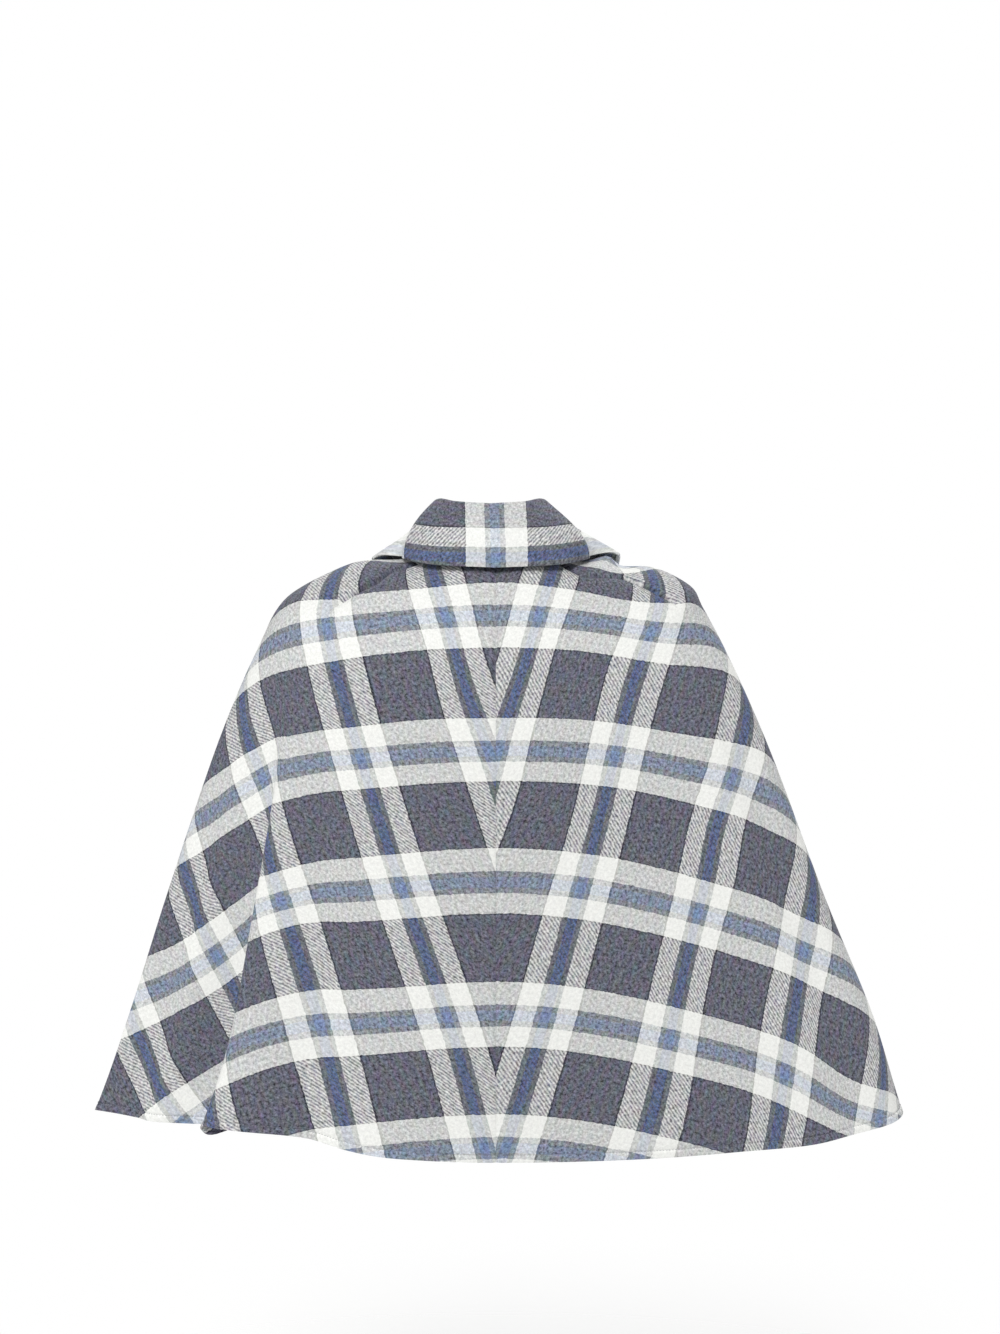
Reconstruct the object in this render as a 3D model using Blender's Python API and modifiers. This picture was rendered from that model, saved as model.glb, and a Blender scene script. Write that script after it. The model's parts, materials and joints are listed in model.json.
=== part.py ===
"""A check wool cape with a turn-down collar, hollow, as it hangs on a general figure.

Metres, +Z up. The back faces -Y and the wearer faces +Y, so +X is the wearer's right.
The origin is the middle of the neck, level with the neck seam at the centre back.
"""

import math
from collections import namedtuple

import bmesh
import bpy
from mathutils import Vector

MM = 0.001

# Driving sizes
CLOTH = 2.2 * MM              # one layer of brushed wool twill
COLLAR_CLOTH = 2.8 * MM       # the fall is two layers, turned out and pressed
SEAM_GAP = 0.3 * MM
FRONT_LAP = 22 * MM           # each front runs this far past the centre front
FRONT_EDGE = 190.0            # the column of a front's edge, past the centre front at 180
LAP_CLEARANCE = 0.6 * MM
LAP_RAMP = (60 * MM, 30 * MM)   # the under front steps inwards over this stretch of its width
ROLL_RADIUS = 8 * MM          # outside of the bend where the collar turns down
ROLL_END = math.radians(50)   # the fall leaves the bend here, measured up from level
SEWN_RUN = 3 * MM             # straight stretch of the fall above its seam with the stand
ROLL_EASE = 0.36              # how far the fall keeps the directions of its two ends, of its length
COLLAR_LEAN = -6 * MM         # the rolled edge sits a little to the wearer's left

# Dart that shapes the shoulder, from the neck seam outwards
DART_STATION = 65.0
DART_END = 3.4
DART_FADE = 0.8               # the last stretch, a part of a girth, over which it runs out
DART_DEPTH = 1.8 * MM
DART_HALF_WIDTH = 2.6

# How finely the cloth is sampled: degrees between the columns, rows to each girth
COARSE_STEP = 7.5
FINE_STEP = 2.3
DART_FINE_REACH = 7.8         # degrees each side of the dart that are sampled finely
LAP_FINE_START = 168.0        # and from here to the centre front
ROWS_PER_GIRTH = 3
FALL_STEPS = 9
ROLL_STEPS = 5
STAND_STEPS = 3
COLLAR_STEP = 8.6
SLOPE_STEP = 0.002            # difference in level and in angle by which a slope is taken

# Girths from the neck seam to the hem, in millimetres from the origin. half_width and side_z
# follow the shoulder and the side, back and back_z the centre back, front and front_z the front.
# skew is how much wider the wearer's right is than the mean, and the left narrower.
Girth = namedtuple("Girth", "name half_width skew side_z back back_z front front_z")
GIRTHS = (
    Girth("neck", 78, 0, -12, 70, 0, 66, -50),
    Girth("yoke", 112, 0, -17, 90, -28, 82, -68),
    Girth("shoulder", 160, 0, -23, 110, -64, 98, -92),
    Girth("ridge", 210, 1, -43, 126, -104, 112, -124),
    Girth("cap", 233, -6, -68, 136, -142, 122, -158),
    Girth("arm", 258, -5, -118, 145, -196, 131, -208),
    Girth("elbow", 305, -3, -226, 154, -300, 139, -306),
    Girth("wrist", 365, 0, -391, 164, -440, 147, -443),
    Girth("low", 415, 6, -526, 171, -552, 152, -553),
    Girth("hem", 454, 3, -638, 176, -642, 156, -643),
)

# Plan of the back at the hem: 0 is a plain oval, 1 falls away almost straight to a narrow side edge
LEANNESS = {-1: 0.95, 1: 0.0}
LEAN_POWER = 2.6
LEAN_START = 4.0

# Soft flutes, a row for each. station is the middle in degrees from the centre back, at the hem;
# drift is how much further round it lies at its start, a girth's number. The cloth sways sideways,
# so that a deep one laps over itself, swells out, rounds its turns, lifts the hem and drops it again
# where it is turned under, all in millimetres at the hem, within the reaches below.
Fold = namedtuple("Fold", "name side station drift period sway swell rounding lift drop start")
FOLDS = (
    Fold("left_deep", -1, 42, 16, 28, 64, 0, 9, 15, 11, 5.0),
    Fold("left_front", -1, 128, 0, 40, 14, 12, 0, 0, 0, 5.0),
    Fold("right_back", 1, 50, 8, 40, 6, 7, 0, 0, 0, 4.6),
    Fold("right_front", 1, 124, 0, 42, 16, 12, 0, 0, 0, 5.0),
)
FOLD_REACH = 0.75             # periods each side of its middle over which a fold moves the cloth
LIFT_REACH = 0.70             # and each side of LIFT_MIDDLE over which it lifts the hem
LIFT_MIDDLE = -0.30
DROP_REACH = 0.14             # and each side of DROP_MIDDLE over which it drops the hem
DROP_MIDDLE = -0.06
DEEP_SWAY = 40.0              # a fold that sways more laps over itself
DRIFT_REACH = 41.0            # degrees each side over which columns follow a deep fold

# Small lifts and dips on the shoulders beside the collar, level as a girth's number
Pucker = namedtuple("Pucker", "name side station reach level spread lift")
PUCKERS = (
    Pucker("right_dip", 1, 88, 16, 1.55, 0.5, -7),
    Pucker("right_hump", 1, 86, 18, 2.15, 0.55, 4),
    Pucker("left_hump", -1, 86, 18, 1.65, 0.7, 4),
)

# The collar's fall on the wearer's right, mirrored on the left: where it rolls over and where it
# ends, in millimetres. hang is 1 where its end drops straight down and 0 where it lies along.
Fall = namedtuple("Fall", "name station roll_x roll_y roll_z edge_x edge_y edge_z hang")
FALLS = (
    Fall("back", 0, 0, -58, 52, 0, -97, -13, 0.9),
    Fall("back_turn", 42, 38, -43, 53, 67, -77, -12, 0.9),
    Fall("side", 74, 55, -12, 53, 100, -32, -11, 0.9),
    Fall("shoulder", 95, 57, 8, 46, 105, -3, -11, 0.7),
    Fall("wing", 115, 53, 28, 27, 137, 25, -16, 0.1),
    Fall("breast", 142, 37, 51, 1, 118, 82, -65, 0.2),
    Fall("point", 172, 12, 65, -24, 65, 107, -97, 0.2),
)


def hermite(knots, values, place):
    """Value of a smooth curve through the knots, with slopes taken from the neighbours."""
    last = len(knots) - 1
    start = max(i for i in range(last) if knots[i] <= place or i == 0)

    def slope(i):
        low = max(i - 1, 0)
        high = min(i + 1, last)
        return (values[high] - values[low]) / (knots[high] - knots[low])

    span = knots[start + 1] - knots[start]
    s = (place - knots[start]) / span
    rise = values[start + 1] - values[start]
    a = slope(start) * span - rise
    b = rise - slope(start + 1) * span
    return values[start] + s * rise + s * (1 - s) * ((1 - s) * a + s * b)


def along_table(table, knots, field, place):
    return hermite(knots, [getattr(row, field) for row in table], place)


def smoothstep(start, end, value):
    s = min(max((value - start) / (end - start), 0.0), 1.0)
    return s * s * (3 - 2 * s)


def bell(distance, reach):
    """1 at no distance, falling softly to 0 at the reach and beyond."""
    return math.cos(math.pi / 2 * min(abs(distance) / reach, 1.0)) ** 2


def girth_point(side, angle, level):
    """Point of the plain cape, without folds: an oval girth that dips from shoulder to back and front."""
    knots = range(len(GIRTHS))
    half_width = along_table(GIRTHS, knots, "half_width", level)
    half_width += side * along_table(GIRTHS, knots, "skew", level)
    side_z = along_table(GIRTHS, knots, "side_z", level)
    towards = math.cos(angle)
    end = "back" if towards > 0 else "front"
    depth = along_table(GIRTHS, knots, end, level)
    end_z = along_table(GIRTHS, knots, end + "_z", level)
    reach = towards
    if towards > 0:
        lean = LEANNESS[side] * smoothstep(LEAN_START, len(GIRTHS) - 1, level)
        reach += (towards ** LEAN_POWER - towards) * lean
    x = half_width * math.sin(angle)
    y = -depth * reach
    z = side_z + (end_z - side_z) * towards ** 2
    return Vector((x, y, z)) * MM


def girth_outward(side, angle, level):
    """Unit vector out of the cloth."""
    low = max(level - SLOPE_STEP, 0.0)
    high = min(level + SLOPE_STEP, len(GIRTHS) - 1.0)
    along = girth_point(side, angle + SLOPE_STEP, level) - girth_point(side, angle - SLOPE_STEP, level)
    down = girth_point(side, angle, high) - girth_point(side, angle, low)
    return down.cross(along).normalized()


def fold_growth(fold, level):
    """From 0 where a fold starts to 1 at the hem."""
    return max((level - fold.start) / (len(GIRTHS) - 1 - fold.start), 0.0)


def column_station(side, column, level):
    """Degrees at which a column of points runs: it follows the deep fold as that drifts."""
    station = column
    for fold in FOLDS:
        if fold.side == side and fold.sway > DEEP_SWAY:
            drift = fold.drift * (1 - fold_growth(fold, level)) ** 2
            station += drift * bell(column - fold.station, DRIFT_REACH)
    return station


def fold_shift(fold, station, level):
    """How one fold moves a point: sideways, forwards and up, and how far out of the cloth."""
    growth = fold_growth(fold, level)
    middle = fold.station + fold.drift * (1 - growth) ** 2
    phase = (station - middle) / fold.period
    fade = growth * bell(phase, FOLD_REACH) * MM
    sideways = -fold.sway * math.sin(2 * math.pi * phase) * fade
    forwards = -fold.rounding * math.sin(4 * math.pi * phase) * fade
    lift = fold.lift * bell(phase - LIFT_MIDDLE, LIFT_REACH)
    drop = fold.drop * bell(phase - DROP_MIDDLE, DROP_REACH)
    up = (lift - drop) * growth * MM
    swell = fold.swell * math.cos(2 * math.pi * phase) * fade
    return Vector((sideways, forwards, up)), swell


def pucker_lift(pucker, station, level):
    across = (station - pucker.station) / pucker.reach
    down = (level - pucker.level) / pucker.spread
    return pucker.lift * MM * math.exp(-across * across - down * down)


def dart_lift(station, level):
    across = abs(station - DART_STATION) / DART_HALF_WIDTH
    fade = 1 - smoothstep(DART_END - DART_FADE, DART_END, level)
    return -DART_DEPTH * max(1 - across, 0.0) * fade


def half_point(side, station, level):
    """Outer point of one half; stations past 180 run on into the front lap."""
    half_width = along_table(GIRTHS, range(len(GIRTHS)), "half_width", level) * MM
    angle = math.radians(min(station, 180.0))
    if station > 180.0:
        angle += math.asin(FRONT_LAP / half_width)
    point = girth_point(side, angle, level)
    out = girth_outward(side, angle, level)
    lift = dart_lift(station, level)
    for fold in FOLDS:
        if fold.side == side:
            shift, swell = fold_shift(fold, station, level)
            point += shift
            lift += swell
    for pucker in PUCKERS:
        if pucker.side == side:
            lift += pucker_lift(pucker, station, level)
    if side < 0 and point.y > 0:
        lift -= (CLOTH + LAP_CLEARANCE) * smoothstep(-LAP_RAMP[0], -LAP_RAMP[1], -point.x)
    point += out * lift
    return Vector((side * (point.x + SEAM_GAP / 2), point.y, point.z))


def half_columns(side):
    """Degrees of the columns at the hem, closer together where the cloth turns."""
    busy = [(DART_STATION - DART_FINE_REACH, DART_STATION + DART_FINE_REACH), (LAP_FINE_START, 180.0)]
    for fold in FOLDS:
        if fold.side == side and fold.sway > DEEP_SWAY:
            reach = FOLD_REACH * fold.period
            busy.append((fold.station - reach, fold.station + reach))
    columns = [0.0]
    while columns[-1] < 180.0:
        place = columns[-1]
        fine = any(low <= place < high for low, high in busy)
        columns.append(place + (FINE_STEP if fine else COARSE_STEP))
    scale = 180.0 / columns[-1]
    return [place * scale for place in columns] + [FRONT_EDGE]


def half_levels():
    count = (len(GIRTHS) - 1) * ROWS_PER_GIRTH
    return [i / ROWS_PER_GIRTH for i in range(count + 1)]


def fall_frame(station):
    """Roll point, edge point and hang of the fall at a station, on the wearer's right."""
    knots = [row.station for row in FALLS]
    roll = Vector([along_table(FALLS, knots, "roll_" + axis, station) for axis in "xyz"]) * MM
    edge = Vector([along_table(FALLS, knots, "edge_" + axis, station) for axis in "xyz"]) * MM
    return roll, edge, along_table(FALLS, knots, "hang", station)


def fall_profile(station):
    """Outer points of the fall from inside the neck, over the roll and down to its edge."""
    roll, edge, hang = fall_frame(station)
    up = Vector((0, 0, 1))
    outward = Vector((edge.x - roll.x, edge.y - roll.y, 0)).normalized()
    middle = roll - up * ROLL_RADIUS
    seam = girth_point(1, math.radians(station), 0.0) - middle
    below = math.atan2(seam.z, seam.dot(outward)) % (2 * math.pi)
    inside = below - math.acos(ROLL_RADIUS / math.hypot(seam.z, seam.dot(outward)))
    points = [Vector()]
    for i in range(ROLL_STEPS + 1):
        turn = inside + (ROLL_END - inside) * i / ROLL_STEPS
        points.append(middle + ROLL_RADIUS * (math.cos(turn) * outward + math.sin(turn) * up))
    points[0] = points[1] + (middle + seam - points[1]).normalized() * SEWN_RUN
    start = points[-1]
    leave = math.sin(turn) * outward - math.cos(turn) * up
    reach = (edge - start).length
    arrive = (edge - start).normalized().lerp(-up, hang).normalized()
    first = start + leave * reach * ROLL_EASE
    second = edge - arrive * reach * ROLL_EASE
    for i in range(1, FALL_STEPS + 1):
        s = i / FALL_STEPS
        curve = (1 - s) ** 3 * start + 3 * s * (1 - s) ** 2 * first
        points.append(curve + 3 * s * s * (1 - s) * second + s ** 3 * edge)
    return points


def stand_profile(station):
    """Points of the stand's neck side, straight from the neck seam to where the roll begins."""
    seam = girth_point(1, math.radians(station), 0.0) + Vector((0, 0, SEAM_GAP))
    roll_start = fall_profile(station)[0]
    top = roll_start - (roll_start - seam).normalized() * SEAM_GAP
    return [seam.lerp(top, i / STAND_STEPS) for i in range(STAND_STEPS + 1)]


def collar_stations():
    end = FALLS[-1].station
    steps = round(end / COLLAR_STEP)
    return [end * i / steps for i in range(-steps, steps + 1)]


def mirrored(profile, station):
    """The profile on its own side of the neck, leaning with the rolled edge."""
    side = math.copysign(1.0, station)
    top = FALLS[0].roll_z * MM
    points = []
    for point in profile(abs(station)):
        lean = COLLAR_LEAN * smoothstep(0.0, top, point.z)
        points.append(Vector((side * point.x + lean, point.y, point.z)))
    return points


def cloth_material(name, colour):
    material = bpy.data.materials.new(name)
    material.use_nodes = True
    shader = material.node_tree.nodes["Principled BSDF"]
    shader.inputs["Base Color"].default_value = (*colour, 1.0)
    shader.inputs["Roughness"].default_value = 0.92
    shader.inputs["Metallic"].default_value = 0.0
    return material


def cloth_sheet(name, lines, thickness, flipped, material, collection):
    """A sheet through equal lines of points, given its thickness on its inner side."""
    rows = len(lines[0]) - 1
    sheet = bmesh.new()
    bmesh.ops.create_grid(sheet, x_segments=len(lines) - 1, y_segments=rows, size=1)
    for vertex in sheet.verts:
        column = round((vertex.co.x + 1) / 2 * (len(lines) - 1))
        row = round((vertex.co.y + 1) / 2 * rows)
        vertex.co = lines[column][row]
    if flipped:
        bmesh.ops.reverse_faces(sheet, faces=sheet.faces)
    mesh = bpy.data.meshes.new(name)
    sheet.to_mesh(mesh)
    sheet.free()
    mesh.shade_smooth()
    piece = bpy.data.objects.new(name, mesh)
    collection.objects.link(piece)
    piece.data.materials.append(material)
    wall = piece.modifiers.new("cloth", "SOLIDIFY")
    wall.thickness = thickness
    wall.offset = -1.0
    wall.use_quality_normals = True
    return piece


def make_half(name, side, material, collection):
    lines = [[half_point(side, column_station(side, column, level), level) for level in half_levels()]
             for column in half_columns(side)]
    return cloth_sheet(name, lines, CLOTH, side > 0, material, collection)


def make_collar(material, collection):
    stand = [mirrored(stand_profile, station) for station in collar_stations()]
    fall = [mirrored(fall_profile, station) for station in collar_stations()]
    cloth_sheet("collar_stand", stand, CLOTH, True, material, collection)
    cloth_sheet("collar_fall", fall, COLLAR_CLOTH, True, material, collection)


def make_cape():
    for leftover in list(bpy.data.objects):
        bpy.data.objects.remove(leftover, do_unlink=True)
    collection = bpy.data.collections.new("check_wool_cape")
    bpy.context.scene.collection.children.link(collection)
    body_wool = cloth_material("grey_check_wool_twill", (0.36, 0.37, 0.40))
    collar_wool = cloth_material("grey_check_wool_twill_collar", (0.30, 0.31, 0.34))
    make_half("half_left", -1, body_wool, collection)
    make_half("half_right", 1, body_wool, collection)
    make_collar(collar_wool, collection)


make_cape()
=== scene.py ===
"""Looks of the check wool cape: finer cloth on the part's own form, its check, its twill and its sewing.

Metres, +Z up, in the part's frame: the back faces -Y and +X is the wearer's right.
"""

import json
import math
from collections import namedtuple

import bpy
import numpy as np
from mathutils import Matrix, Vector

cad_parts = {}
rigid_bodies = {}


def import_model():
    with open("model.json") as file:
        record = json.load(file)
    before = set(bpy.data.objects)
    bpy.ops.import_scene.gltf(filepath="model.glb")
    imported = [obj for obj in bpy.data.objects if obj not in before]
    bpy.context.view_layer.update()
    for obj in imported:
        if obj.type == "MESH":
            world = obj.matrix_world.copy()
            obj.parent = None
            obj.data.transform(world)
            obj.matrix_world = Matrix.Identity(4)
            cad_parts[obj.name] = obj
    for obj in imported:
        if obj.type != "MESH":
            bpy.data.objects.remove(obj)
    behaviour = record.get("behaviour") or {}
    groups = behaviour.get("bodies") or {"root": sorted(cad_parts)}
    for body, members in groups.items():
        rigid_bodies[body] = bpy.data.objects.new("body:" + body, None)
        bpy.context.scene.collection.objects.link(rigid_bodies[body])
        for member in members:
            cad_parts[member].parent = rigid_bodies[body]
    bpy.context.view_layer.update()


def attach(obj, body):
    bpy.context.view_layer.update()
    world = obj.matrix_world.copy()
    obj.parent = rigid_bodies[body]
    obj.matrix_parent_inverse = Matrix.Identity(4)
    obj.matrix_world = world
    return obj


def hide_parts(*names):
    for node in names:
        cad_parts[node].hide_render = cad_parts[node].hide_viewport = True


MM = 0.001

# Sizes of the part that the finer cloth follows. Stations are degrees round from the centre back.
CLOTH = 2.2 * MM
COLLAR_CLOTH = 2.8 * MM
FRONT_LAP = 22 * MM           # how far each front runs past the centre front
CENTRE_FRONT = 180.0
FRONT_EDGE = 190.0
LAP_CLEARANCE = 0.6 * MM
LAP_RAMP = (60 * MM, 30 * MM)  # from the centre front, where the left steps in under the right
ROLL_RADIUS = 8 * MM
ROLL_END = math.radians(50)   # where the fall leaves its roll
SEWN_RUN = 3 * MM             # straight run of the fall at its seam to the stand
ROLL_EASE = 0.36              # how stiffly the fall leaves its roll and comes to its edge
COLLAR_LEAN = -6 * MM         # how far the collar's top leans to the left
SLOPE_STEP = 0.002            # in radians and in levels, for slopes

# Girths from the neck seam to the hem, in millimetres, as in the part. A level counts down them.
Girth = namedtuple("Girth", "name half_width skew side_z back back_z front front_z")
GIRTHS = (
    Girth("neck", 78, 0, -12, 70, 0, 66, -50),
    Girth("yoke", 112, 0, -17, 90, -28, 82, -68),
    Girth("shoulder", 160, 0, -23, 110, -64, 98, -92),
    Girth("ridge", 210, 1, -43, 126, -104, 112, -124),
    Girth("cap", 233, -6, -68, 136, -142, 122, -158),
    Girth("arm", 258, -5, -118, 145, -196, 131, -208),
    Girth("elbow", 305, -3, -226, 154, -300, 139, -306),
    Girth("wrist", 365, 0, -391, 164, -440, 147, -443),
    Girth("low", 415, 6, -526, 171, -552, 152, -553),
    Girth("hem", 454, 3, -638, 176, -642, 156, -643),
)
HEM = len(GIRTHS) - 1.0
# Towards the hem the left back is drawn in from the oval
LEANNESS = {-1: 0.95, 1: 0.0}
LEAN_POWER = 2.6
LEAN_START = 4.0

# The part's flutes and its lifts and dips on the shoulders
Fold = namedtuple("Fold", "name side station drift period sway swell rounding lift drop start")
FOLDS = (
    Fold("left_deep", -1, 42, 16, 28, 64, 0, 9, 15, 11, 5.0),
    Fold("left_front", -1, 128, 0, 40, 14, 12, 0, 0, 0, 5.0),
    Fold("right_back", 1, 50, 8, 40, 6, 7, 0, 0, 0, 4.6),
    Fold("right_front", 1, 124, 0, 42, 16, 12, 0, 0, 0, 5.0),
)
# In a fold's periods: how far it reaches, and where its hem lifts and drops
FOLD_REACH = 0.75
LIFT_REACH = 0.70
LIFT_MIDDLE = -0.30
DROP_REACH = 0.14
DROP_MIDDLE = -0.06
DEEP_SWAY = 40.0              # the columns follow a fold that sways by more than this
DRIFT_REACH = 41.0
Pucker = namedtuple("Pucker", "name side station reach level spread lift")
PUCKERS = (
    Pucker("right_dip", 1, 88, 16, 1.55, 0.5, -7),
    Pucker("right_hump", 1, 86, 18, 2.15, 0.55, 4),
    Pucker("left_hump", -1, 86, 18, 1.65, 0.7, 4),
)
# Cloth that bunches under the right wing, besides
BUNCH = Pucker("right_bunch", 1, 88, 22, 1.2, 0.28, 11)

# The collar's fall on the wearer's right, mirrored on the left, in millimetres. band is how far above
# its edge the check's light band begins. share is how much of its run the check takes there: less at
# the sides, where the collar is pressed flat and eased round.
Fall = namedtuple("Fall", "name station roll_x roll_y roll_z edge_x edge_y edge_z hang band share")
FALLS = (
    Fall("back", 0, 0, -58, 52, 0, -97, -13, 0.9, 43.5, 1.0),
    Fall("back_turn", 42, 38, -43, 53, 67, -77, -12, 0.9, 42, 0.83),
    Fall("side", 74, 55, -12, 53, 100, -32, -11, 0.9, 40, 0.40),
    Fall("shoulder", 95, 57, 8, 46, 105, -3, -11, 0.7, 40, 0.30),
    Fall("wing", 115, 53, 28, 27, 137, 25, -16, 0.1, 44, 0.35),
    Fall("breast", 142, 37, 51, 1, 118, 82, -65, 0.2, 50, 1.0),
    Fall("point", 172, 12, 65, -24, 65, 107, -97, 0.2, 52, 1.0),
)
FALL_AT = {row.name: row for row in FALLS}
BAND_RISE = 3.5 * MM          # how much further from the edge the band runs on the right
COLLAR_EASE = 1.07            # the collar's check is this much closer round the neck than on the body
CHECK_LEAN = 0.75             # share of the collar's lean that its check doesn't follow
WING_LIFT = 4 * MM            # how far the right wing's edge is propped up by the cloth below it
WING_REACH = 28.0             # degrees to each side of the wing

# Sewing
DART_COLUMNS = {-1: 42.5, 1: 65.0}
DART_END = 3.4                # level of the dart's point
# Degrees by which a dart bends near the neck, towards the centre back or, below zero, away from it,
# and the levels where it does
DART_BENDS = {-1: -8.0, 1: 13.0}
DART_BEND_LEVELS = (1.15, 1.85)
DART_BEND_REACH = 34.0
DART_FADE = 0.8               # levels over which its dip ends
DART_DEPTH = 6.5 * MM
DART_REACH = (6 * MM, 2 * MM)  # how far the dip reaches on the back and on the shoulder
DART_TAKE = 40 * MM           # cloth that the dart takes up at the neck seam
SEAM_DEPTH = 1.5 * MM         # how far the cloth turns in at the centre back seam
SEAM_REACH = 2.6 * MM
NECK_SEAM_LEVEL = 0.3         # above this the collar's seam holds the cloth smooth
NECK_SEAM_TUCK = 0.8 * MM     # how far the stand reaches into the neck seam
HEM_FOLD = 8 * MM             # turned and stitched edge of the hem and of the fronts
HEM_PUFF = 0.7 * MM
HEM_PUFF_SHARE = 0.7          # share of the fold that is at its full height
HEM_GROOVE = 1.1 * MM
HEM_GROOVE_REACH = 1.3 * MM
STITCH_SPACING = 3.4 * MM
STITCH_LENGTH = 2.6 * MM
THREAD = 0.55 * MM

# How finely the cloth is divided: columns in degrees, rows down the cloth in millimetres
COLUMN_STEP = 1.15
FOLD_COLUMN_STEP = 0.62
FRONT_COLUMN_STEP = 0.6
SEAM_COLUMNS = (0.08, 0.2, 0.36, 0.58, 0.85)
DART_COLUMN_STEPS = (0.15, 0.4, 0.8, 1.6, 2.4)
DART_ROOM = 0.14              # no other column comes closer than this to the dart's
LEAST_COLUMN_STEP = 0.07
ROWS = 138
ROW_STATION = 60.0            # the station where the rows are spaced out
MEASURED_LEVELS = 800         # levels at which the run down the cloth is measured for that
HEM_ROWS = (1.2, 2.6, 5.0, 6.4, 7.2, 8.0, 8.8, 9.6, 11.5)
LEAST_ROW_STEP = 0.5
COLLAR_COLUMNS = 161
RIM_SHARE = 0.3               # rounding of the cut edges, as a share of the cloth's thickness
RIM_ANGLE = math.radians(62)

# Soft troughs and ridges that hang in the cloth. station and drift are degrees round from the centre
# back at the bottom and how much further at the top, width and depth are millimetres.
Crease = namedtuple("Crease", "name side station drift top bottom width depth")
CREASES = (
    Crease("back_right_a", 1, 17, 7, 5.0, 8.3, 26, -1.3),
    Crease("back_right_b", 1, 31, 2, 5.9, 9.4, 34, 1.6),
    Crease("back_right_c", 1, 63, 6, 5.3, 9.2, 22, -2.2),
    Crease("side_right", 1, 80, -4, 4.3, 8.7, 28, 2.0),
    Crease("front_right_a", 1, 98, 2, 5.2, 9.3, 24, -2.0),
    Crease("front_right_b", 1, 146, -6, 4.6, 8.9, 30, 1.8),
    Crease("front_right_c", 1, 158, -3, 5.8, 9.4, 20, -1.2),
    Crease("back_left_a", -1, 12, 8, 4.9, 8.0, 28, 1.3),
    Crease("back_left_b", -1, 20, 10, 6.2, 9.3, 24, -1.4),
    Crease("side_left_a", -1, 68, 6, 5.6, 9.4, 20, -2.4),
    Crease("side_left_b", -1, 84, 2, 4.5, 8.8, 26, 2.0),
    Crease("front_left_a", -1, 104, 3, 5.5, 9.3, 26, -1.8),
    Crease("front_left_b", -1, 150, -5, 4.8, 9.1, 28, 1.6),
)
CREASE_FADE = 0.9

# The check: threads across and down a repeat, in millimetres, from the inner edge of a light stripe
Stripe = namedtuple("Stripe", "thread across down")
STRIPES = (
    Stripe("white", 21.5, 24.2),
    Stripe("moss", 6.0, 6.1),
    Stripe("blue", 10.4, 11.5),
    Stripe("moss", 6.0, 6.1),
    Stripe("white", 21.5, 21.7),
    Stripe("black", 2.1, 1.6),
    Stripe("charcoal", 66.7, 70.2),
    Stripe("black", 2.1, 1.6),
)
LIGHT_STRIPES = 5
BLUE_STRIPE = 2
# heather is how mottled a yarn is. cover is how much of the face a weft takes, and twill is how far it
# shows the twill's lines instead of blooming over them. All are from 0 to 1.
Thread = namedtuple("Thread", "name warp weft heather cover twill")
THREADS = (
    Thread("white", "#E9E9E6", "#EBECE8", 0.12, 0.61, 0.1),
    Thread("moss", "#73797C", "#9AA0A4", 0.7, 0.45, 0.2),
    Thread("blue", "#586B96", "#93A3BE", 0.7, 0.45, 0.2),
    Thread("charcoal", "#6A6C77", "#5B5C68", 1.0, 0.51, 1.0),
    Thread("black", "#1C1C22", "#2E2F38", 0.6, 0.5, 1.0),
)

# How each half is cut from the check. Its flat pattern is part of a ring, with x and y in metres from
# the ring's centre. The stripes lean by STRIPE_LEAN at the centre back, the bands droop towards the
# side, and the first of each begin at start_across and start_down, in repeats.
Cut = namedtuple("Cut", "start_across start_down droop")
CUTS = {-1: Cut(-0.808, -1.878, 0.629), 1: Cut(-0.763, -1.876, 0.686)}
PATTERN_START = 0.233         # radius of the ring at the neck seam
STRIPE_LEAN = math.radians(17.45)
DROOP_START = 0.35            # the bands bend down over this stretch and then run straight
FRONT_EASE = (95.0, 150.0)
FRONT_MATCH = (118.0, 6.5)    # column and level at which the two agree

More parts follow.
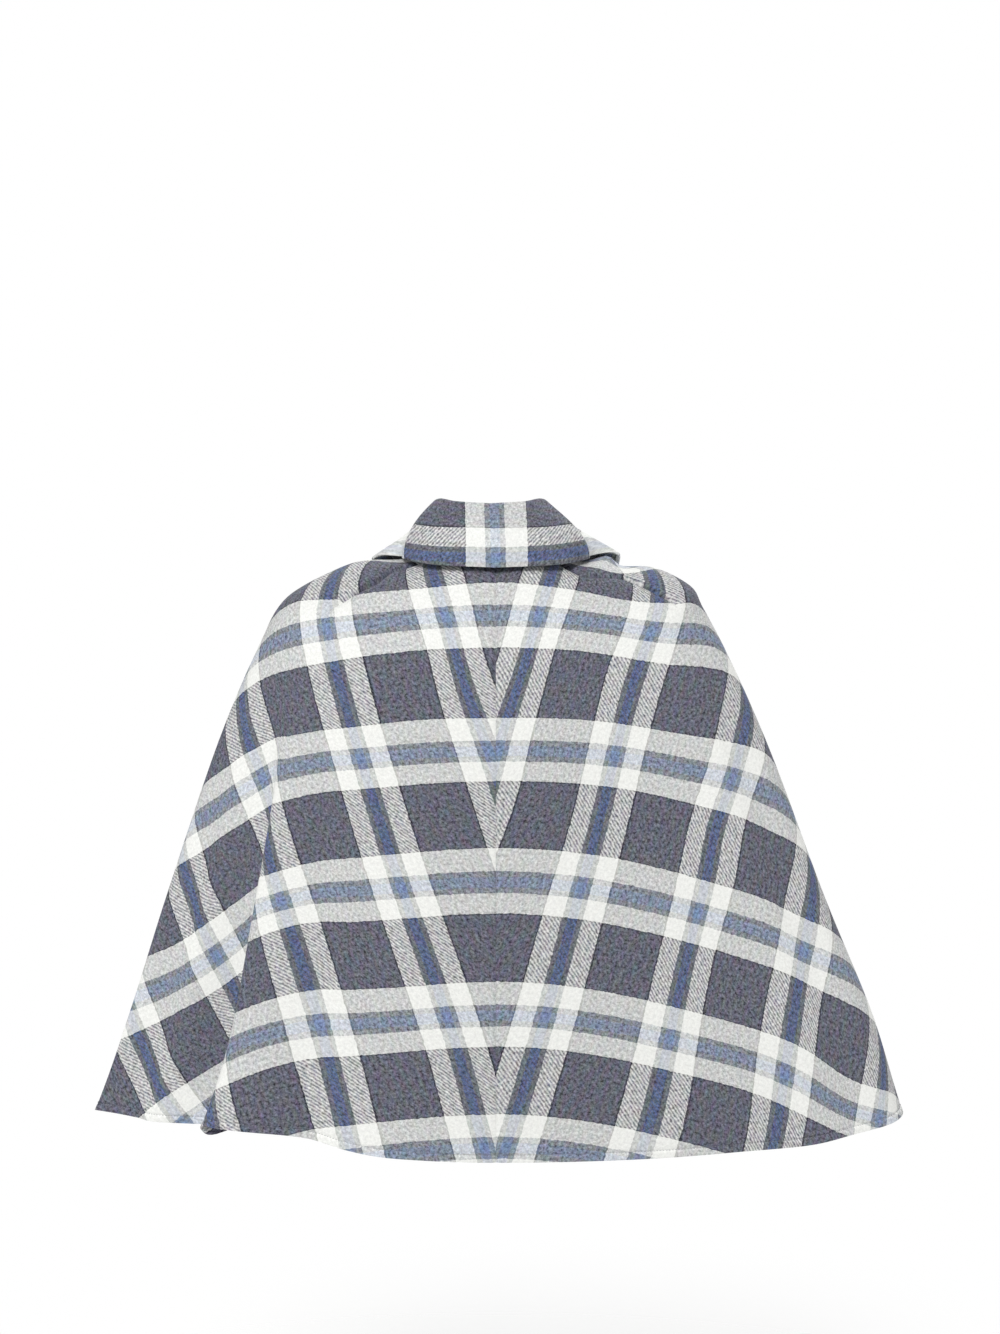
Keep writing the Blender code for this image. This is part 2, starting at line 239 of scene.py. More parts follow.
# Where steam, weight and the folds have pulled the check off its plain cut: the middle and the reach
# of each pull on the flat pattern, and its size in repeats.
Pull = namedtuple("Pull", "name side x y reach across down")
PULLS = (
    Pull("left_centre", -1, 0.0, 0.40, 0.09, 0.0, -0.04),
    Pull("left_seam", -1, 0.0, 0.35, 0.065, -0.055, 0.0),
    Pull("left_blade", -1, 0.09, 0.35, 0.05, 0.035, 0.0),
    Pull("left_panel", -1, 0.10, 0.77, 0.15, 0.08, 0.0),
    Pull("left_fold", -1, 0.29, 0.86, 0.15, -0.12, -0.04),
    Pull("left_corner", -1, 0.51, 0.83, 0.12, -0.08, 0.10),
    Pull("left_arm", -1, 0.25, 0.49, 0.09, 0.0, 0.055),
    Pull("left_shoulder", -1, 0.29, 0.30, 0.10, 0.0, 0.115),
    Pull("left_edge", -1, 0.45, 0.72, 0.12, 0.045, 0.0),
    Pull("left_flap", -1, 0.37, 0.69, 0.10, 0.0, -0.06),
    Pull("left_fold_low", -1, 0.275, 0.78, 0.07, 0.0, 0.075),
    Pull("left_crest", -1, 0.24, 0.68, 0.07, 0.0, 0.08),
    Pull("right_middle", 1, 0.20, 0.55, 0.20, 0.08, 0.0),
    Pull("right_centre", 1, 0.0, 0.40, 0.09, 0.0, -0.04),
    Pull("right_seam", 1, 0.0, 0.35, 0.065, -0.05, 0.0),
    Pull("right_seam_low", 1, 0.02, 0.50, 0.07, -0.05, 0.0),
    Pull("right_yoke", 1, 0.09, 0.35, 0.05, 0.035, 0.0),
    Pull("right_blade", 1, 0.16, 0.40, 0.11, 0.07, 0.0),
    Pull("right_waist", 1, 0.17, 0.48, 0.09, 0.0, 0.035),
    Pull("right_side", 1, 0.34, 0.44, 0.10, -0.10, 0.20),
    Pull("right_arm", 1, 0.255, 0.545, 0.05, 0.06, 0.0),
    Pull("right_low_side", 1, 0.365, 0.69, 0.07, -0.055, -0.03),
    Pull("right_shoulder", 1, 0.28, 0.32, 0.07, -0.06, 0.17),
    Pull("right_flute", 1, 0.30, 0.70, 0.09, 0.10, 0.0),
    Pull("right_hem", 1, 0.25, 0.88, 0.09, -0.09, 0.0),
    Pull("right_low", 1, 0.30, 0.82, 0.08, 0.05, 0.035),
    Pull("right_corner", 1, 0.41, 0.84, 0.09, 0.0, -0.13),
    Pull("right_neck", 1, 0.175, 0.235, 0.055, 0.0, -0.2),
)

FLOOR_LEVEL = -1.45
FLOOR_REACH = 2.4


def repeat(way):
    """Length of one repeat of the check."""
    return sum(getattr(stripe, way) for stripe in STRIPES) * MM


def middle_stripe():
    """Down the check to the middle of its blue stripe."""
    before = sum(stripe.down for stripe in STRIPES[:BLUE_STRIPE])
    return (before + STRIPES[BLUE_STRIPE].down / 2) * MM


def light_width(way):
    """Width of the check's light stripe, with the blue in its middle."""
    return sum(getattr(stripe, way) for stripe in STRIPES[:LIGHT_STRIPES]) * MM


def hermite(knots, values, place):
    """Values of a smooth curve through the knots, with slopes taken from the neighbours."""
    knots = np.asarray(knots, float)
    values = np.asarray(values, float)
    last = len(knots) - 1
    before = np.maximum(np.arange(last + 1) - 1, 0)
    after = np.minimum(np.arange(last + 1) + 1, last)
    slopes = (values[after] - values[before]) / (knots[after] - knots[before])
    start = np.clip(np.searchsorted(knots, place, side="right") - 1, 0, last - 1)
    span = knots[start + 1] - knots[start]
    s = (place - knots[start]) / span
    rise = values[start + 1] - values[start]
    a = slopes[start] * span - rise
    b = rise - slopes[start + 1] * span
    return values[start] + s * rise + s * (1 - s) * ((1 - s) * a + s * b)


def along_girths(field, level):
    return hermite(range(len(GIRTHS)), [getattr(row, field) for row in GIRTHS], level)


def smoothstep(start, end, value):
    s = np.clip((value - start) / (end - start), 0.0, 1.0)
    return s * s * (3 - 2 * s)


def bell(distance, reach):
    """1 at no distance, falling softly to 0 at the reach and beyond."""
    return np.cos(np.pi / 2 * np.minimum(np.abs(distance) / reach, 1.0)) ** 2


def girth_point(side, angle, level):
    """Points of the plain cape, without folds: oval girths that dip from shoulder to back and front."""
    half_width = along_girths("half_width", level) + side * along_girths("skew", level)
    side_z = along_girths("side_z", level)
    towards = np.cos(angle)
    behind = towards > 0
    depth = np.where(behind, along_girths("back", level), along_girths("front", level))
    end_z = np.where(behind, along_girths("back_z", level), along_girths("front_z", level))
    lean = LEANNESS[side] * smoothstep(LEAN_START, HEM, level) * behind
    reach = towards + (np.maximum(towards, 0.0) ** LEAN_POWER - towards) * lean
    x = half_width * np.sin(angle)
    y = -depth * reach
    z = side_z + (end_z - side_z) * towards ** 2
    return np.stack(np.broadcast_arrays(x, y, z), axis=-1) * MM


def unit(vectors):
    return vectors / np.linalg.norm(vectors, axis=-1, keepdims=True)


def girth_outward(side, angle, level):
    low = np.maximum(level - SLOPE_STEP, 0.0)
    high = np.minimum(level + SLOPE_STEP, HEM)
    along = girth_point(side, angle + SLOPE_STEP, level) - girth_point(side, angle - SLOPE_STEP, level)
    down = girth_point(side, angle, high) - girth_point(side, angle, low)
    return unit(np.cross(down, along))


def fold_growth(fold, level):
    return np.maximum((level - fold.start) / (HEM - fold.start), 0.0)


def deep_folds(side):
    return [fold for fold in FOLDS if fold.side == side and fold.sway > DEEP_SWAY]


def column_station(side, column, level):
    """Degrees at which the columns run: they follow the deep fold as that drifts."""
    station = np.broadcast_to(column, level.shape)
    for fold in deep_folds(side):
        drift = fold.drift * (1 - fold_growth(fold, level)) ** 2
        station = station + drift * bell(column - fold.station, DRIFT_REACH)
    return station


def dart_bend(side, column, level):
    """Degrees by which the columns near the dart bend with it."""
    bend = DART_BENDS[side] * (1 - smoothstep(*DART_BEND_LEVELS, level))
    return bend * bell(column - DART_COLUMNS[side], DART_BEND_REACH)


def fold_shift(fold, station, level):
    """How one fold moves the points: sideways, forwards and up, and how far out of the cloth."""
    growth = fold_growth(fold, level)
    phase = (station - fold.station - fold.drift * (1 - growth) ** 2) / fold.period
    fade = growth * bell(phase, FOLD_REACH) * MM
    sideways = -fold.sway * np.sin(2 * np.pi * phase) * fade
    forwards = -fold.rounding * np.sin(4 * np.pi * phase) * fade
    lift = fold.lift * bell(phase - LIFT_MIDDLE, LIFT_REACH)
    drop = fold.drop * bell(phase - DROP_MIDDLE, DROP_REACH)
    up = (lift - drop) * growth * MM
    swell = fold.swell * np.cos(2 * np.pi * phase) * fade
    return np.stack((sideways, forwards, up), axis=-1), swell


def pucker_lift(pucker, station, level):
    across = (station - pucker.station) / pucker.reach
    down = (level - pucker.level) / pucker.spread
    return pucker.lift * MM * np.exp(-across ** 2 - down ** 2)


def half_form(side, station, level):
    """Outer points of one half as the part has it, on its own side, before the finer form."""
    half_width = along_girths("half_width", level) * MM
    past = np.clip((station - CENTRE_FRONT) / (FRONT_EDGE - CENTRE_FRONT), 0.0, 1.0)
    angle = np.radians(np.minimum(station, CENTRE_FRONT)) + past * np.arcsin(FRONT_LAP / half_width)
    points = girth_point(side, angle, level)
    lift = np.zeros_like(station)
    for fold in FOLDS:
        if fold.side == side:
            shift, swell = fold_shift(fold, station, level)
            points = points + shift
            lift = lift + swell
    for pucker in PUCKERS:
        if pucker.side == side:
            lift = lift + pucker_lift(pucker, station, level)
    if side < 0:
        step = smoothstep(-LAP_RAMP[0], -LAP_RAMP[1], -points[..., 0]) * (points[..., 1] > 0)
        lift = lift - (CLOTH + LAP_CLEARANCE) * step
    return points + girth_outward(side, angle, level) * lift[..., None]


def run_length(points, axis):
    """Distance run along the lines of a grid of points, from the first."""
    steps = np.linalg.norm(np.diff(points, axis=axis), axis=-1)
    first = np.zeros_like(np.take(steps, [0], axis=axis))
    return np.concatenate((first, np.cumsum(steps, axis=axis)), axis=axis)


def at_stations(station, known, values):
    """Values of a grid of columns and levels, read off at other stations of each level."""
    return np.stack([np.interp(s, k, v) for s, k, v in zip(station.T, known.T, values.T)], axis=1)


def grid_outward(points):
    """Unit vectors out of a half's grid of points, columns first."""
    along = np.gradient(points, axis=0)
    down = np.gradient(points, axis=1)
    return unit(np.cross(down, along))


def half_columns(side):
    """Degrees of the columns at the hem, closer together at the seams, the dart and the deep fold."""
    dart = DART_COLUMNS[side]
    columns = list(np.arange(0.0, FRONT_EDGE, COLUMN_STEP))
    columns += SEAM_COLUMNS
    columns += [dart + way * step for way in (-1, 1) for step in DART_COLUMN_STEPS]
    columns += list(np.arange(CENTRE_FRONT, FRONT_EDGE, FRONT_COLUMN_STEP))
    for fold in deep_folds(side):
        reach = FOLD_REACH * fold.period
        columns += list(np.arange(fold.station - reach, fold.station + reach, FOLD_COLUMN_STEP))
    columns.append(FRONT_EDGE)
    columns = [column for column in columns if abs(column - dart) >= DART_ROOM]
    return thinned(columns + [dart], LEAST_COLUMN_STEP)


def half_levels():
    """Levels of the rows, evenly down the side and closer together at the hem's stitching."""
    fine = np.linspace(0.0, HEM, MEASURED_LEVELS)
    down = run_length(girth_point(1, np.radians(ROW_STATION), fine), 0)
    length = down[-1]
    places = list(np.linspace(0.0, length, ROWS))
    places += [length - above * MM for above in HEM_ROWS]
    return np.interp(thinned(places, LEAST_ROW_STEP * MM), down, fine)


def thinned(places, least):
    """The places in order, without those that come closer than least to the one before."""
    kept = []
    for place in sorted(places):
        if not kept or place - kept[-1] >= least:
            kept.append(place)
    kept[-1] = max(places)
    return np.array(kept)


def crease_relief(crease, station, level, girth):
    """Height of one soft trough or ridge on the cloth."""
    middle = crease.station + crease.drift * (1 - level[0] / HEM)
    place = np.array([np.interp(m, s, g) for m, s, g in zip(middle, station.T, girth.T)])
    across = (girth - place[None, :]) / (crease.width * MM)
    start = smoothstep(crease.top, crease.top + CREASE_FADE, level)
    end = 1 - smoothstep(crease.bottom - CREASE_FADE, crease.bottom, level)
    return crease.depth * MM * np.exp(-across ** 2) * start * end


def half_relief(side, station, level, girth, length, dart_column):
    """Finer form on a half: creases, the dart, the turned edges, the centre back seam and the bunch."""
    relief = np.zeros_like(station)
    for crease in CREASES:
        if crease.side == side:
            relief += crease_relief(crease, station, level, girth)
    fade = 1 - smoothstep(DART_END - DART_FADE, DART_END, level)
    past = girth - girth[dart_column]
    reach = np.where(past < 0, *DART_REACH)
    relief -= DART_DEPTH * np.exp(-np.abs(past) / reach) * fade
    for edge in (length[:, -1:] - length, girth[-1:] - girth):
        relief += HEM_PUFF * (1 - smoothstep(HEM_PUFF_SHARE * HEM_FOLD, HEM_FOLD, edge))
        relief -= HEM_GROOVE * np.exp(-((edge - HEM_FOLD) / HEM_GROOVE_REACH) ** 2)
    relief -= SEAM_DEPTH * np.exp(-(girth / SEAM_REACH) ** 2)
    if side == BUNCH.side:
        relief += pucker_lift(BUNCH, station, level)
    return relief * smoothstep(0.0, NECK_SEAM_LEVEL, level)


def cut_places(side, columns, levels, girth, length):
    """Where points of a half lie on the check, in metres across and down, from its flat pattern."""
    cut = CUTS[side]
    radius = PATTERN_START + length
    turn = girth / radius
    x = radius * np.sin(turn)
    y = radius * np.cos(turn)
    droop = np.sqrt(x ** 2 + DROOP_START ** 2) - DROOP_START
    across = x * math.cos(STRIPE_LEAN) + y * math.sin(STRIPE_LEAN) + cut.start_across * repeat("across")
    down = y - cut.droop * droop + cut.start_down * repeat("down")
    for pull in PULLS:
        if pull.side == side:
            near = np.exp(-((x - pull.x) ** 2 + (y - pull.y) ** 2) / pull.reach ** 2)
            across = across + near * pull.across * repeat("across")
            down = down + near * pull.down * repeat("down")
    match = (np.searchsorted(columns, FRONT_MATCH[0]), np.searchsorted(levels, FRONT_MATCH[1]))
    straight_across = length - length[:, -1:]
    straight_down = girth[-1:] - girth
    ease = smoothstep(*FRONT_EASE, columns)[:, None]
    across += ease * (straight_across - straight_across[match] + across[match] - across)
    down += ease * (straight_down - straight_down[match] + down[match] - down)
    if side < 0:
        across = light_width("across") - across
    return np.stack((across, down), axis=-1)


def cloth_piece(name, points, places, seam_column, thickness, flipped, material):
    """A sheet through a grid of points with its places on the check, given its thickness inwards.

    places holds two grids, for the faces before and after the seam column."""
    columns, rows = points.shape[:2]
    index = np.arange(columns * rows).reshape(columns, rows)
    faces = np.stack((index[:-1, :-1], index[:-1, 1:], index[1:, 1:], index[1:, :-1]), axis=-1)
    if flipped:
        faces = faces[..., ::-1]
    mesh = bpy.data.meshes.new(name)
    mesh.from_pydata(points.reshape(-1, 3).tolist(), [], faces.reshape(-1, 4).tolist())
    later = np.zeros(faces.shape[:2], int)
    later[seam_column:] = 1
    layers = np.stack([grid.reshape(-1, 2) for grid in places])
    chosen = layers[later[..., None], faces]
    cloth = mesh.uv_layers.new(name="cloth")
    cloth.data.foreach_set("uv", chosen.reshape(-1).astype(np.float32))
    mesh.shade_smooth()
    mesh.materials.append(material)
    piece = bpy.data.objects.new(name, mesh)
    bpy.context.scene.collection.objects.link(piece)
    wall = piece.modifiers.new("wall", "SOLIDIFY")
    wall.thickness = thickness
    wall.offset = -1.0
    wall.use_quality_normals = True
    rim = piece.modifiers.new("rim", "BEVEL")
    rim.width = RIM_SHARE * thickness
    rim.segments = 2
    rim.limit_method = "ANGLE"
    rim.angle_limit = RIM_ANGLE
    return piece


def fold_line(run, points):
    """Points where the lines of a grid cross the stitching of a turned edge, run from that edge."""
    return [[np.interp(HEM_FOLD, r[::-1], p[::-1, axis]) for axis in range(3)]
            for r, p in zip(run, points)]


def half_piece(name, side, material):
    """One half of the cape, and the lines along which its edges are stitched."""
    columns = half_columns(side)
    levels = half_levels()
    level = np.broadcast_to(levels[None, :], (len(columns), len(levels)))
    straight = column_station(side, columns[:, None], level)
    station = straight - dart_bend(side, columns[:, None], level)
    plain = half_form(side, straight, level)
    girth = at_stations(station, straight, run_length(plain, 0))
    length = at_stations(station, straight, run_length(plain, 1))
    points = half_form(side, station, level)
    dart_column = int(np.argmin(np.abs(columns - DART_COLUMNS[side])))
    relief = half_relief(side, station, level, girth, length, dart_column)
    points = points + grid_outward(points) * relief[..., None]
    take = DART_TAKE * np.maximum(1 - level / DART_END, 0.0)
    places = (cut_places(side, columns, levels, girth, length),
              cut_places(side, columns, levels, girth + take, length))
    points[..., 0] *= side
    piece = cloth_piece(name, points, places, dart_column, CLOTH, side < 0, material)
    above = length[:, -1:] - length
    before = girth[-1:] - girth
    inside = before[:, -1] >= HEM_FOLD
    hem = fold_line(above[inside], points[inside])
    higher = above[-1] >= HEM_FOLD
    front = fold_line(before[:, higher].T, points[:, higher].swapaxes(0, 1))
    return piece, [hem, front]


def fall_frame(station):
    """Roll point, edge point and hang of the fall at a station, on the wearer's right."""
    knots = [row.station for row in FALLS]

    def value(field):
        return float(hermite(knots, [getattr(row, field) for row in FALLS], station))

    roll = Vector([value("roll_" + axis) for axis in "xyz"]) * MM
    edge = Vector([value("edge_" + axis) for axis in "xyz"]) * MM
    return roll, edge, value("hang")


def fall_profile(station, roll_steps=14, fall_steps=34):
    """Outer points of the fall from inside the neck, over the roll and down to its edge."""
    roll, edge, hang = fall_frame(station)
    up = Vector((0, 0, 1))
    outward = Vector((edge.x - roll.x, edge.y - roll.y, 0)).normalized()
    middle = roll - up * ROLL_RADIUS
    seam = Vector(girth_point(1, math.radians(station), 0.0)) - middle
    below = math.atan2(seam.z, seam.dot(outward)) % (2 * math.pi)
    inside = below - math.acos(ROLL_RADIUS / math.hypot(seam.z, seam.dot(outward)))
    points = []
    for i in range(roll_steps + 1):
        turn = inside + (ROLL_END - inside) * i / roll_steps
        points.append(middle + ROLL_RADIUS * (math.cos(turn) * outward + math.sin(turn) * up))
    points.insert(0, points[0] + (middle + seam - points[0]).normalized() * SEWN_RUN)
    start = points[-1]
    leave = math.sin(ROLL_END) * outward - math.cos(ROLL_END) * up
    reach = (edge - start).length
    arrive = (edge - start).normalized().lerp(-up, hang).normalized()
    first = start + leave * reach * ROLL_EASE
    second = edge - arrive * reach * ROLL_EASE
    for i in range(1, fall_steps + 1):
        s = i / fall_steps
        curve = (1 - s) ** 3 * start + 3 * s * (1 - s) ** 2 * first
        points.append(curve + 3 * s * s * (1 - s) * second + s ** 3 * edge)
    return points


def stand_profile(station, steps=10):
    """Points of the stand's neck side, straight from the neck seam to where the roll begins."""
    seam = Vector(girth_point(1, math.radians(station), 0.0)) - Vector((0, 0, NECK_SEAM_TUCK))
    roll_start = fall_profile(station)[0]
    return [seam.lerp(roll_start, i / steps) for i in range(steps + 1)]


def collar_stations():
    end = FALL_AT["point"].station
    return np.linspace(-end, end, COLLAR_COLUMNS)


def collar_lean(points):
    """How far points of the collar lean sideways."""
    return COLLAR_LEAN * smoothstep(0.0, FALL_AT["back"].roll_z * MM, points[..., 2])


def collar_grid(profile):
    """Points of a collar piece round the neck, leaning with the rolled edge, columns first."""
    stations = collar_stations()
    grid = np.array([profile(abs(station)) for station in stations], float)
    grid[..., 0] *= np.copysign(1.0, stations)[:, None]
    lift = WING_LIFT * bell(stations - FALL_AT["wing"].station, WING_REACH)
    run = run_length(grid, 1)
    grid[..., 2] += lift[:, None] * (run / run[:, -1:]) ** 2
    grid[..., 0] += collar_lean(grid)
    return grid


def collar_piece(name, profile, thickness, material):
    """The stand or the fall, cut across the cloth: its warp runs round the neck. A light stripe is in
    the middle of the back and a light band is near the edge."""
    points = collar_grid(profile)
    stations = collar_stations()
    knots = [row.station for row in FALLS]
    share = hermite(knots, [row.share for row in FALLS], np.abs(stations))
    steps = np.diff(run_length(points, 0), axis=0) * (share[1:] + share[:-1])[:, None] / 2
    around = np.concatenate((np.zeros_like(steps[:1]), np.cumsum(steps, axis=0)))
    around = COLLAR_EASE * (around - around[len(points) // 2] + CHECK_LEAN * collar_lean(points))
    band = hermite(knots, [row.band for row in FALLS], np.abs(stations)) * MM
    band = band + BAND_RISE * smoothstep(0.0, FALL_AT["side"].station, stations)
    down = run_length(points, 1)
    down = down - down[:, -1:] + band[:, None]
    places = np.stack((down, middle_stripe() - around), axis=-1)
    return cloth_piece(name, points, (places, places), len(points), thickness, False, material)


def linear(hex_colour):
    """An sRGB hex colour as linear red, green, blue and alpha."""
    parts = [int(hex_colour[i:i + 2], 16) / 255 for i in (1, 3, 5)]
    return tuple(c / 12.92 if c <= 0.04045 else ((c + 0.055) / 1.055) ** 2.4 for c in parts) + (1.0,)


def add_node(tree, kind, settings, inputs):
    """A node with its settings, and with its inputs set to values or linked from other sockets.

    A mix node's two numbers are its inputs 2 and 3, and its two colours 6 and 7."""
    node = tree.nodes.new(kind)
    for name, value in settings.items():
        setattr(node, name, value)
    for key, value in inputs.items():
        if isinstance(value, bpy.types.NodeSocket):
            tree.links.new(value, node.inputs[key])
        else:
            node.inputs[key].default_value = value
    return node


def set_stripes(ramp, way, values):
    """The threads' colours or other values along one repeat, as steps of a ramp."""
    ramp.interpolation = "CONSTANT"
    ramp.elements.remove(ramp.elements[1])
    start = 0.0
    for i, stripe in enumerate(STRIPES):
        step = ramp.elements[0] if i == 0 else ramp.elements.new(start)
        step.position = start
        step.color = values[stripe.thread]
        start += getattr(stripe, way) * MM / repeat(way)


def wool_material():
    """Wool flannel: a 2/2 twill in a check, milled and brushed. It is matte, its dark yarns are heathered
    and its nap glows a little at the edges. Its diagonal shows where a light warp crosses a dark weft,
    and a light weft blooms and hides it."""
    wool = bpy.data.materials.new("brushed_wool_flannel_twill")
    wool.use_nodes = True
    tree = wool.node_tree
    shader = tree.nodes["Principled BSDF"]
    shader.inputs["Roughness"].default_value = 0.93
    shader.inputs["Specular IOR Level"].default_value = 0.15
    shader.inputs["Sheen Weight"].default_value = 0.06
    shader.inputs["Sheen Roughness"].default_value = 0.5
    cloth = add_node(tree, "ShaderNodeUVMap", {"uv_map": "cloth"}, {})
    flat = {"noise_dimensions": "2D"}
    # Yarns wander by about half a millimetre, so that the stripes' edges aren't ruled
    wander = add_node(tree, "ShaderNodeTexNoise", flat,
                      {"Vector": cloth.outputs[0], "Scale": 1 / (5 * MM), "Detail": 2.0})
    centred = add_node(tree, "ShaderNodeVectorMath", {"operation": "SUBTRACT"},
                       {0: wander.outputs["Color"], 1: (0.5, 0.5, 0.5)})
    moved = add_node(tree, "ShaderNodeVectorMath", {"operation": "MULTIPLY_ADD"},
                     {0: centred.outputs[0], 1: (2.2 * MM, 2.2 * MM, 0.0), 2: cloth.outputs[0]})
    place = add_node(tree, "ShaderNodeSeparateXYZ", {}, {0: moved.outputs[0]})
    yarns = (("warp", "across", "X", {t.name: linear(t.warp)[:3] + (t.heather,) for t in THREADS}),
             ("weft", "down", "Y", {t.name: linear(t.weft)[:3] + (t.heather,) for t in THREADS}),
             ("lay", "down", "Y", {t.name: (t.cover, t.twill, 0.0, 1.0) for t in THREADS}))
    ramps = {}
    for name, way, axis, values in yarns:
        turns = add_node(tree, "ShaderNodeMath", {"operation": "DIVIDE"},
                         {0: place.outputs[axis], 1: repeat(way)})
        part = add_node(tree, "ShaderNodeMath", {"operation": "FRACT"}, {0: turns.outputs[0]})
        ramps[name] = add_node(tree, "ShaderNodeValToRGB", {}, {"Fac": part.outputs[0]})
        set_stripes(ramps[name].color_ramp, way, values)
    lay = add_node(tree, "ShaderNodeSeparateColor", {}, {0: ramps["lay"].outputs["Color"]})
    # Twill lines are about 2.4 mm apart in the real cloth, drawn 3.3 mm apart so that they show
    twill_step = 3.3 * MM * math.sqrt(2)
    slant = add_node(tree, "ShaderNodeMath", {"operation": "SUBTRACT"},
                     {0: place.outputs["X"], 1: place.outputs["Y"]})
    turn = add_node(tree, "ShaderNodeMath", {"operation": "MULTIPLY"},
                    {0: slant.outputs[0], 1: 2 * math.pi / twill_step})
    wave = add_node(tree, "ShaderNodeMath", {"operation": "SINE"}, {0: turn.outputs[0]})
    fibres = add_node(tree, "ShaderNodeTexNoise", flat,
                      {"Vector": cloth.outputs[0], "Scale": 1 / (2.2 * MM), "Detail": 3.0,
                       "Roughness": 0.6})
    heather = add_node(tree, "ShaderNodeTexNoise", flat,
                       {"Vector": cloth.outputs[0], "Scale": 1 / (3.4 * MM), "Detail": 3.0,
                        "Roughness": 0.75})
    mottle = add_node(tree, "ShaderNodeMapRange", {"clamp": False},
                      {"Value": heather.outputs["Fac"], "From Min": 0.3, "From Max": 0.7,
                       "To Min": -0.75, "To Max": 0.75})
    speckle = add_node(tree, "ShaderNodeTexNoise", flat,
                       {"Vector": cloth.outputs[0], "Scale": 1 / (4 * MM), "Detail": 1.0})
    uneven = add_node(tree, "ShaderNodeMapRange", {"clamp": False},
                      {"Value": speckle.outputs["Fac"], "From Min": 0.0, "From Max": 1.0,
                       "To Min": -0.3, "To Max": 0.3})
    # The lines change how much of the face the weft takes by about a quarter, and unevenly
    ragged = add_node(tree, "ShaderNodeMath", {"operation": "MULTIPLY_ADD"},
                      {0: wave.outputs[0], 1: 0.27, 2: uneven.outputs[0]})
    weft_up = add_node(tree, "ShaderNodeMath", {"operation": "MULTIPLY_ADD", "use_clamp": True},
                       {0: ragged.outputs[0], 1: lay.outputs[1], 2: lay.outputs[0]})
    woven = add_node(tree, "ShaderNodeMix", {"data_type": "RGBA"},
                     {0: weft_up.outputs[0], 6: ramps["warp"].outputs["Color"],
                      7: ramps["weft"].outputs["Color"]})
    # Heathered yarn: light and dark fibres a few millimetres long, and a little stray colour in streaks
    heathered = add_node(tree, "ShaderNodeMix", {"data_type": "FLOAT"},
                         {0: weft_up.outputs[0], 2: ramps["warp"].outputs["Alpha"],
                          3: ramps["weft"].outputs["Alpha"]})
    shade = add_node(tree, "ShaderNodeMath", {"operation": "MULTIPLY_ADD"},
                     {0: mottle.outputs[0], 1: heathered.outputs[0], 2: 1.0})
    mottled = add_node(tree, "ShaderNodeMix", {"data_type": "RGBA", "blend_type": "MULTIPLY"},
                       {0: 1.0, 6: woven.outputs[2], 7: shade.outputs[0]})
    drawn = add_node(tree, "ShaderNodeVectorMath", {"operation": "MULTIPLY"},
                     {0: cloth.outputs[0], 1: (1 / (6 * MM), 1 / (17 * MM), 0.0)})
    stray = add_node(tree, "ShaderNodeTexNoise", flat,
                     {"Vector": drawn.outputs[0], "Scale": 1.0, "Detail": 2.0})
    tint = add_node(tree, "ShaderNodeMath", {"operation": "MULTIPLY"}, {0: heathered.outputs[0], 1: 0.35})
    tinted = add_node(tree, "ShaderNodeMix", {"data_type": "RGBA", "blend_type": "SOFT_LIGHT"},
                      {0: tint.outputs[0], 6: mottled.outputs[2], 7: stray.outputs["Color"]})
    tree.links.new(tinted.outputs[2], shader.inputs["Base Color"])
    # Nap: raised fibres, and the twill's lines a little under them
    nap = add_node(tree, "ShaderNodeMath", {"operation": "MULTIPLY_ADD"},
                   {0: wave.outputs[0], 1: 0.25, 2: fibres.outputs["Fac"]})
    bump = add_node(tree, "ShaderNodeBump", {},
                    {"Height": nap.outputs[0], "Strength": 0.3, "Distance": 0.4 * MM})
    tree.links.new(bump.outputs["Normal"], shader.inputs["Normal"])
    return wool


def thread_material():
    """Spun polyester sewing thread: grey, a little smoother than the wool, with a fine twist."""
    thread = bpy.data.materials.new("grey_spun_polyester_thread")
    thread.use_nodes = True
    tree = thread.node_tree
    shader = tree.nodes["Principled BSDF"]
    shader.inputs["Roughness"].default_value = 0.7
    shader.inputs["Specular IOR Level"].default_value = 0.3
    where = add_node(tree, "ShaderNodeTexCoord", {}, {})
    twist = add_node(tree, "ShaderNodeTexNoise", {},
                     {"Vector": where.outputs["Object"], "Scale": 1 / (0.8 * MM), "Detail": 2.0})
    colour = add_node(tree, "ShaderNodeMix", {"data_type": "RGBA"},
                      {"Factor": twist.outputs["Fac"], 6: linear("#6C6C74"), 7: linear("#A2A3A9")})
    tree.links.new(colour.outputs[2], shader.inputs["Base Color"])
    return thread


